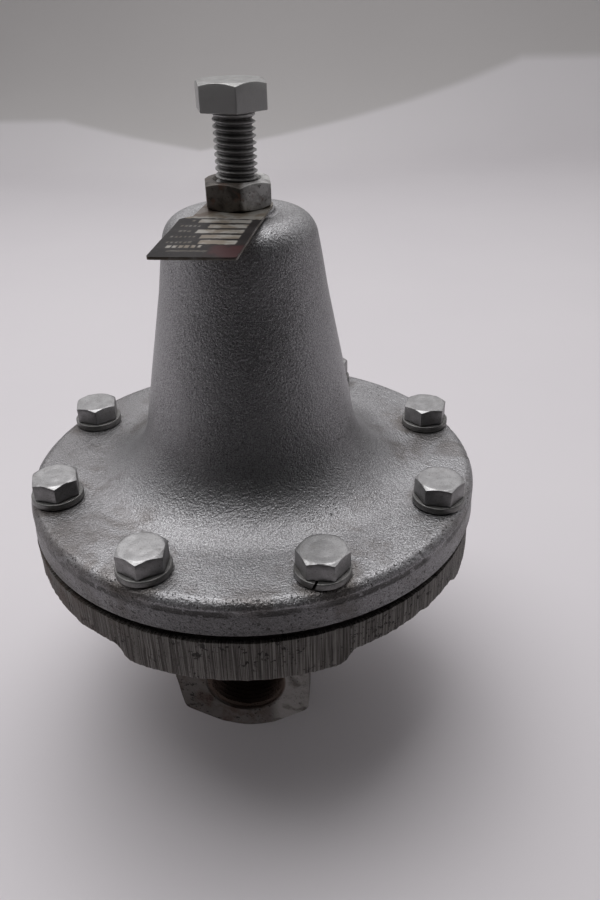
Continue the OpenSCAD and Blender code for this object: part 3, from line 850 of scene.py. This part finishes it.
def chamfered_top(angles, af, corner_r, height, hole_r, groove=0.0, slant=28):
    """Rings from the hole or middle outwards over the top face and its turned corners, then to the side."""
    edge, lip, lip_drop = 0.22, 0.12, 0.06
    outer = hex_radius(angles, af, corner_r)
    flat_r = af / 2 * 0.965
    fall = math.tan(math.radians(slant))
    rings = []
    for share, dip in ((0, 0), (0.45, 0), (0.52, groove), (0.60, groove), (0.66, 0), (0.9, 0)):
        rings.append(ring(angles, hole_r + (flat_r - hole_r) * share, height - dip))
    rings.append(ring(angles, flat_r - lip, height))
    rings.append(ring(angles, flat_r + lip, height - lip_drop))
    for share in (0.5, 1):
        r = flat_r + lip + (outer - edge - flat_r - lip) * share
        rings.append(ring(angles, r, height - lip_drop - (r - flat_r - lip) * fall))
    side_top = height - lip_drop - (outer - edge - flat_r - lip) * fall
    rings.append(ring(angles, outer - edge * 0.3, side_top - edge * 0.35))
    rings.append(ring(angles, outer, side_top - edge))
    return rings, side_top - edge


def hex_head(angles, af, height, corner_r, groove=0.0):
    """Rings of a bolt head standing on z = 0: top face with turned corners, sides, and a plain underside."""
    middle_r = 0.4
    rings, side_top = chamfered_top(angles, af, corner_r, height, middle_r, groove)
    outer = hex_radius(angles, af, corner_r)
    for share in (0.33, 0.66):
        rings.append(ring(angles, outer, side_top + (0.25 - side_top) * share))
    rings.append(ring(angles, outer, 0.25))
    rings.append(ring(angles, outer - 0.25, 0))
    return rings


def upside_down(rings, height):
    return [r * np.array([1, 1, -1]) + np.array([0, 0, height]) for r in rings]


def thread_rings(angles, r, pitch, depth, start, end, per_pitch):
    """Rings down a threaded shank from height start to the tip at end."""
    rings, runout = [], 1.5
    count = int((start - end) / pitch * per_pitch)
    for z in np.linspace(start, end, count):
        t = np.abs((z / pitch + angles / (2 * math.pi)) % 1 - 0.5) * 2
        cut_in = depth * np.clip((t - 0.16) / 0.62, 0, 1)
        fade = min(1, (start - z) / runout)
        tip = max(0, 1.6 - (z - end)) * 0.9
        rings.append(ring(angles, np.minimum(r - cut_in * fade, r - tip), z))
    return rings


def wear(obj, amount, seed):
    """Small dents and unevenness, so that no two fasteners are alike."""
    return push(obj, lambda p: amount * (noise(p, 3.5, seed) + 0.5 * noise(p, 1.2, seed + 1)) - amount)


def make_cover_bolts():
    corner_r, thread_pitch, thread_depth = 0.4, 1.5875, 0.75
    angles = hex_angles(BOLT_AF, corner_r)
    head_z = SEAT_Z + WASHER_T
    for i, turn in enumerate(HEAD_TURNS):
        rings = hex_head(angles, BOLT_AF, HEAD_H, corner_r, groove=0.03)
        rings.append(ring(angles, BOLT_R + 0.3, 0.0))
        rings.append(ring(angles, BOLT_R, -0.3))
        rings += thread_rings(angles, BOLT_R, thread_pitch, thread_depth, -8, BOLT_LOW_Z - head_z, 7)
        bolt = loft(f"cover_bolt_{i + 1}", rings)
        wear(bolt, 0.03, 31 + 7 * i)
        at_bolt(shifted(rotated(bolt, turn), z=head_z), i)
        finish(bolt, "housing", "bolt_zinc", "cover_bolts", angle=28)


def make_lock_washers():
    """Split spring washers: a rounded square wire with one slanting gap."""
    inner, outer, round_r = BOLT_R + 0.25, 8.6, 0.4
    height = WASHER_T - 0.08
    section = []
    for x, z, start in ((outer, height, 0), (inner, height, 90), (inner, 0, 180), (outer, 0, 270)):
        centre_x = x - round_r if x == outer else x + round_r
        centre_z = z - round_r if z else round_r
        section += arc(centre_x, centre_z, round_r, start, start + 90, 5)
    half_gap = 0.45 / outer
    for i, turn in enumerate(SPLIT_TURNS):
        rings = []
        for a in np.linspace(half_gap, 2 * math.pi - half_gap, 121):
            lift = 0.07 * (a / (2 * math.pi))
            slant = [a + (z - height / 2) * math.tan(math.radians(20)) / r for r, z in section]
            rings.append([(r * math.sin(t), -r * math.cos(t), z + lift) for (r, z), t in zip(section, slant)])
        washer = loft(f"lock_washer_{i + 1}", rings)
        wear(washer, 0.02, 101 + 5 * i)
        at_bolt(shifted(rotated(washer, turn), z=SEAT_Z), i)
        finish(washer, "housing", "washer_zinc", "lock_washers", angle=40)


def make_adjusting_screw():
    corner_r, thread_depth = 0.3, 1.05
    angles = hex_angles(SCREW_AF, corner_r, per_side=16)
    head_z = SCREW_TOP_Z - SCREW_HEAD_H
    rings = hex_head(angles, SCREW_AF, SCREW_HEAD_H, corner_r, groove=0.02)
    rings.append(ring(angles, SCREW_R + 0.5, 0))
    rings.append(ring(angles, SCREW_R - 0.2, -0.6))
    rings += thread_rings(angles, SCREW_R, SCREW_PITCH, thread_depth, -0.9, SCREW_LOW_Z - head_z, 22)
    screw = loft("adjusting_screw_threaded", rings)
    wear(screw, 0.025, 201)
    shifted(rotated(screw, HEAD_TURN), z=head_z)
    p = points_of(screw)
    p[:, 0] -= HEAD_SHIFT * step_up(p[:, 2], head_z - 0.5, head_z)
    set_points(screw, p)
    return finish(screw, "screw", "screw_zinc", "adjusting_screw", angle=28)


def make_jam_nut():
    corner_r, bore_r, sink = 0.5, SCREW_R + RUN_GAP, 0.9
    angles = hex_angles(SCREW_AF, corner_r)
    top, _ = chamfered_top(angles, SCREW_AF, corner_r, NUT_H, bore_r + sink, slant=30)
    bottom = upside_down(top, NUT_H)[::-1]
    outer = hex_radius(angles, SCREW_AF, corner_r)
    middle = [ring(angles, outer, NUT_H / 2 + d) for d in (1, 0, -1)]
    bore = [ring(angles, bore_r, z) for z in (sink, NUT_H / 3, NUT_H * 2 / 3, NUT_H - sink)]
    nut = loft("jam_nut_hexagon", top + middle + bottom + bore, loop=True)
    wear(nut, 0.035, 221)
    shifted(rotated(nut, NUT_TURN), z=NUT_Z)
    return finish(nut, "jam_nut", "nut_steel", "jam_nut", angle=28)


def make_plate_nut():
    af, corner_r, bore_r, sink, break_r = 16, 0.4, 4.6, 0.6, 0.2
    angles = hex_angles(af, corner_r)
    rings, _ = chamfered_top(angles, af, corner_r, PLATE_NUT_H, bore_r)
    outer = hex_radius(angles, af, corner_r)
    rings += [ring(angles, outer, break_r), ring(angles, outer - break_r, 0)]
    rings += [ring(angles, bore_r + sink, 0), ring(angles, bore_r, sink)]
    nut = loft("plate_nut_hexagon", rings, loop=True)
    shifted(nut, z=PLATE_NUT_Z)
    return finish(nut, "plunger", "nut_plated", "plate_nut", angle=28)


def make_bottom_cap():
    """Hexagonal plug: turned corners underneath, a washer face above, and a threaded hollow spigot."""
    af, hex_h, corner_r, spigot_r, pocket_r = 35, 10, 0.8, 16.95, 8.2
    top_z, pocket_z, pitch, thread_depth = high("bottom_cap").z, 7, 1.5, 0.8
    angles = hex_angles(af, corner_r)
    rings = upside_down(hex_head(angles, af, hex_h, corner_r), hex_h)
    rings.append(ring(angles, spigot_r, hex_h))
    for z in np.arange(hex_h + 1.4, top_z - 0.6, 0.2):
        t = np.abs((z / pitch + angles / (2 * math.pi)) % 1 - 0.5) * 2
        rings.append(ring(angles, spigot_r - thread_depth * np.clip(t, 0.1, 0.9), z))
    rings += [ring(angles, spigot_r - 1, top_z), ring(angles, pocket_r + 0.5, top_z)]
    rings += [ring(angles, pocket_r, top_z - 0.5), ring(angles, pocket_r, pocket_z + 0.5)]
    rings += [ring(angles, pocket_r - 0.5, pocket_z), ring(angles, 0.4, pocket_z)]
    cap = loft("bottom_cap_plug", rings)
    wear(cap, 0.03, 231)
    return finish(cap, "housing", "cap_iron", "bottom_cap", angle=28)


# ---------- Nameplate ----------

def make_nameplate():
    """Thin plate, drawn flat with its long side along -Y, then bent a little and turned."""
    left, right, front, ear_r = -13.6, 10.5, -48, 10.4
    hole_r, corner, thick, cell = SCREW_R + 0.5, 0.9, 0.8, 0.25
    xs = np.arange(left - 1, right + 1 + cell / 2, cell)
    ys = np.arange(front - 1, ear_r + 1 + cell / 2, cell)
    grid_x, grid_y = np.meshgrid(xs, ys, indexing="ij")
    size_x, size_y = grid_x.shape
    sheet = [np.stack([grid_x, grid_y, np.full_like(grid_x, z)], -1).reshape(-1, 3) for z in (0, thick)]
    count = size_x * size_y
    faces = []
    for layer in (0, 1):
        for i in range(size_x - 1):
            for j in range(size_y - 1):
                a = layer * count + i * size_y + j
                faces.append((a, a + 1, a + size_y + 1, a + size_y))
    border = [(i, 0) for i in range(size_x)] + [(size_x - 1, j) for j in range(1, size_y)]
    border += [(i, size_y - 1) for i in range(size_x - 2, -1, -1)]
    border += [(0, j) for j in range(size_y - 2, 0, -1)]
    index = [i * size_y + j for i, j in border]
    faces += [(a, b, b + count, a + count) for a, b in zip(index, index[1:] + index[:1])]
    plate = new_object("nameplate_printed", np.concatenate(sheet), faces)
    outline = arc(right - corner, front + corner, corner, 270, 360, 8)
    outline += [(right, -17), (ear_r, -1)] + arc(0, 0, ear_r, 0, 180, 40)
    outline += [(-ear_r, -14), (left, -17)] + arc(left + corner, front + corner, corner, 180, 270, 8)
    prism = loft("outline", [[(x, y, z) for x, y in outline] for z in (-1, 2)])
    cut(plate, [prism], "INTERSECT")
    cut(plate, [cylinder(hole_r, -2, 3, 64)])
    paint_nameplate(plate)
    p = points_of(plate)
    droop, curl, roll = 0.0157, 0.00055, 0.023
    beyond = np.clip(-14 - p[:, 1], 0, None)
    rise = roll * p[:, 0] * step_up(beyond, 0, 12) - droop * beyond - curl * beyond ** 2
    ripple = 0.12 * noise(p * np.array([1, 1, 0]), 9, 301) * step_up(beyond, 2, 10)
    p[:, 2] += rise + ripple
    set_points(plate, p)
    shifted(rotated(plate, PLATE_TURN), z=BOSS_Z)
    return finish(plate, "housing", "plate_print", "nameplate", angle=40)


def paint_nameplate(plate):
    """Mesh values: bare is 1 on bare metal, stain is 1 on red stains. The fields hold no lettering."""
    p = points_of(plate)
    x, y = p[:, 0], p[:, 1]
    ragged = 0.16 * noise(p, 0.9, 311)

    def box(x0, x1, y_mid, height):
        inside = np.minimum(np.minimum(x - x0, x1 - x), height / 2 - np.abs(y - y_mid)) + ragged
        return step_up(inside, -0.12, 0.12)

    bare = step_up(y + ragged * 2, -16.2, -15.8)
    row_pitch, first_row = 4.63, -18.4
    for k, start in enumerate((-7.1, -3.3, -5.6, -3.2, -2.4)):
        bare = np.maximum(bare, box(start, 7.8, first_row - k * row_pitch, 3.1))
    for k, (start, marks) in enumerate(((-9.2, 1), (-11.4, 5), (-10.6, 3), (-11.6, 6), (-11.6, 6))):
        for m in range(marks):
            mark_x = start + 1.25 * m
            bare = np.maximum(bare, 0.42 * box(mark_x, mark_x + 0.7, first_row - k * row_pitch, 1.3))
    for m in range(6):
        bare = np.maximum(bare, 0.9 * box(-10.4 + 1.7 * m, -9.3 + 1.7 * m, -40.2, 1.9))
    bare = np.maximum(bare, 0.35 * box(-9.4, 1.6, -43.6, 0.7))
    wide = noise(p, 4, 321) + 0.5 * noise(p, 1.3, 322)
    stain = step_up(x, 0.5, 3.5) * step_up(-y, 38.2, 40.2) * step_up(wide, -0.7, 0.1)
    stain = np.maximum(stain, 0.5 * step_up(-x, 2, 7) * step_up(y, -16, -14) * step_up(wide, -0.4, 0.3))
    facing = step_up(normals_of(plate)[:, 2], 0.2, 0.9)
    for name, value in (("bare", np.maximum(bare, 1 - facing)), ("stain", stain * facing)):
        layer = plate.data.attributes.new(name, "FLOAT", "POINT")
        layer.data.foreach_set("value", value.astype(np.float32))


# ---------- Springs ----------

def coil(name, mean_r, wire_r, turns, z0, z1, per_turn=48, sides=14):
    """Round wire in a helix whose end turns lie almost flat."""
    flat = 2.2 * wire_r
    rise = (z1 - z0 - 2 * flat) / (turns - 2)
    rings = []
    for t in np.linspace(0, turns, int(turns * per_turn) + 1):
        if t < 1:
            z = z0 + t * flat
        elif t > turns - 1:
            z = z1 - (turns - t) * flat
        else:
            z = z0 + flat + (t - 1) * rise
        a = 2 * math.pi * t
        k = np.arange(sides) * 2 * math.pi / sides
        r = mean_r + wire_r * np.cos(k)
        rings.append(np.stack([r * math.cos(a), r * math.sin(a), z + wire_r * np.sin(k)], 1))
    return loft(name, rings)


def make_springs():
    """Each spring is a coil from the lowest to the highest point of its frame part, standing in for that
    part.
    """
    for node, slot, mean_r, wire_r, turns, body in (
        ("range_spring", "spring_steel", 16, 2.4, 8.5, "button"),
        ("return_spring", "spring_stainless", 6.6, 0.9, 7.5, "plunger"),
    ):
        lowest, highest = low(node).z, high(node).z
        spring = coil(node + "_coil", mean_r, wire_r, turns, lowest + wire_r, highest - wire_r)
        finish(spring, None, slot, node, angle=60)
        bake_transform(spring)


def make_diaphragm():
    """Rubber sheet held by the flanges and by the plates, with a sloping free ring between them."""
    lowest, highest = low("diaphragm").z, high("diaphragm").z
    thick, inner_r, flat_r, free_r, outer_r = 1.4, 4.6, 45, CHAMBER_R - 1, high("diaphragm").x
    above = [(inner_r, lowest + thick), (flat_r, lowest + thick), (free_r, highest), (outer_r, highest)]
    below = [(outer_r, highest - thick), (free_r, highest - thick), (flat_r, lowest), (inner_r, lowest)]
    sheet = lathe("diaphragm_sheet", fine(above, 0.7) + fine(below, 0.7), 160)
    cut(sheet, bolt_holes(lowest - 1, highest + 1))
    finish(sheet, None, "diaphragm_rubber", "diaphragm", angle=40)
    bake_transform(sheet)


# ---------- The object ----------

make_cage()
make_body()
make_cover_bolts()
make_lock_washers()
make_adjusting_screw()
make_jam_nut()
make_plate_nut()
make_bottom_cap()
make_nameplate()
make_springs()
make_diaphragm()

# Every part of the frame gets its material, also those that no piece stands for
for part in frame["record"]["subparts"]:
    node = frame["nodes"][part["node"]]
    node.data.materials.clear()
    node.data.materials.append(materials[part["material_slot"]])


# ---------- Studio ----------

def make_studio():
    """Pale floor that curves up into a backdrop far behind the object."""
    half_w, front, back, curve_r, wall = 3.0, -2.5, 1.0, 0.5, 0.6
    profile = [(front, 0.0), (-0.6, 0.0), (0.4, 0.0), (back, 0.0)]
    for i in range(1, 17):
        t = math.pi / 2 * i / 16
        profile.append((back + curve_r * math.sin(t), curve_r * (1 - math.cos(t))))
    profile.append((back + curve_r, wall))
    verts = [(x, y, z) for y, z in profile for x in (-half_w, half_w)]
    faces = [(2 * i, 2 * i + 1, 2 * i + 3, 2 * i + 2) for i in range(len(profile) - 1)]
    mesh = bpy.data.meshes.new("studio_floor")
    mesh.from_pydata(verts, [], faces)
    mesh.shade_smooth()
    floor = bpy.data.objects.new("studio_floor", mesh)
    scene.collection.objects.link(floor)
    s = Shader(roughness=0.8, specular=0.2)
    s.material.name = "studio_paper"
    x, y, _ = s.axes()
    cloth = s.mix(s.noise(6, 3), (0.65, 0.62, 0.645), (0.69, 0.66, 0.68))
    # The pale cloth is painted lighter as it nears a shallow V behind the object: painted light on the curve.
    # Beyond the V the sheet turns a darker grey.
    rise = s.math("MULTIPLY", s.math("ABSOLUTE", s.math("ADD", x, 0.195)), 0.42)
    fold = s.math("MINIMUM", rise, s.blend(s.window(x, -0.2, 0.2), 0.105, 0.228))
    behind = s.math("SUBTRACT", y, s.math("ADD", fold, 1.091))
    cloth = s.mix(s.window(behind, -0.30, 0.0), cloth, (0.80, 0.77, 0.79))
    wall = s.mix(s.noise(3, 2), (0.57, 0.548, 0.545), (0.63, 0.608, 0.604))
    tone = s.mix(s.window(behind, -0.010, 0.012), cloth, wall)
    # In front of the object the floor is painted dark: painted shade, standing in for the dark room there
    ahead = s.math("SUBTRACT", y, s.math("MULTIPLY", x, 0.12))
    tone = s.mix(s.window(ahead, -0.13, -0.40), tone, (0.04, 0.038, 0.04))
    s.set(Base_Color=tone)
    mesh.materials.append(s.material)


def make_world():
    """Soft white from behind the object, fading to a dark room in front of it."""
    world = bpy.data.worlds.new("world")
    world.use_nodes = True
    nodes, links = world.node_tree.nodes, world.node_tree.links
    away = nodes.new("ShaderNodeVectorMath")
    away.operation = "DOT_PRODUCT"
    away.inputs[1].default_value = (-0.12, 0.99, 0)
    links.new(nodes.new("ShaderNodeTexCoord").outputs["Generated"], away.inputs[0])
    fade = nodes.new("ShaderNodeMapRange")
    fade.interpolation_type = "SMOOTHSTEP"
    fade.inputs["From Min"].default_value, fade.inputs["From Max"].default_value = -0.45, 0.50
    fade.inputs["To Min"].default_value, fade.inputs["To Max"].default_value = 0.02, 0.82
    links.new(away.outputs["Value"], fade.inputs["Value"])
    background = nodes["Background"]
    background.inputs["Color"].default_value = (1.0, 0.985, 1.0, 1)
    links.new(fade.outputs["Result"], background.inputs["Strength"])
    scene.world = world


def soft_light(name, place, target, size, energy):
    data = bpy.data.lights.new(name, "AREA")
    data.shape = "SQUARE"
    data.size, data.energy = size, energy
    light = bpy.data.objects.new(name, data)
    light.location = place
    light.rotation_euler = (Vector(target) - Vector(place)).to_track_quat("-Z", "Y").to_euler()
    scene.collection.objects.link(light)


make_studio()
make_world()
soft_light("overhead", place=(-0.2, 0.15, 1.2), target=(0, 0, 0.1), size=1.0, energy=8.5)
soft_light("backdrop", place=(0.1, 0.5, 1.4), target=(0.1, 1.4, 0.1), size=0.8, energy=3.5)
scene.view_settings.view_transform = "Standard"
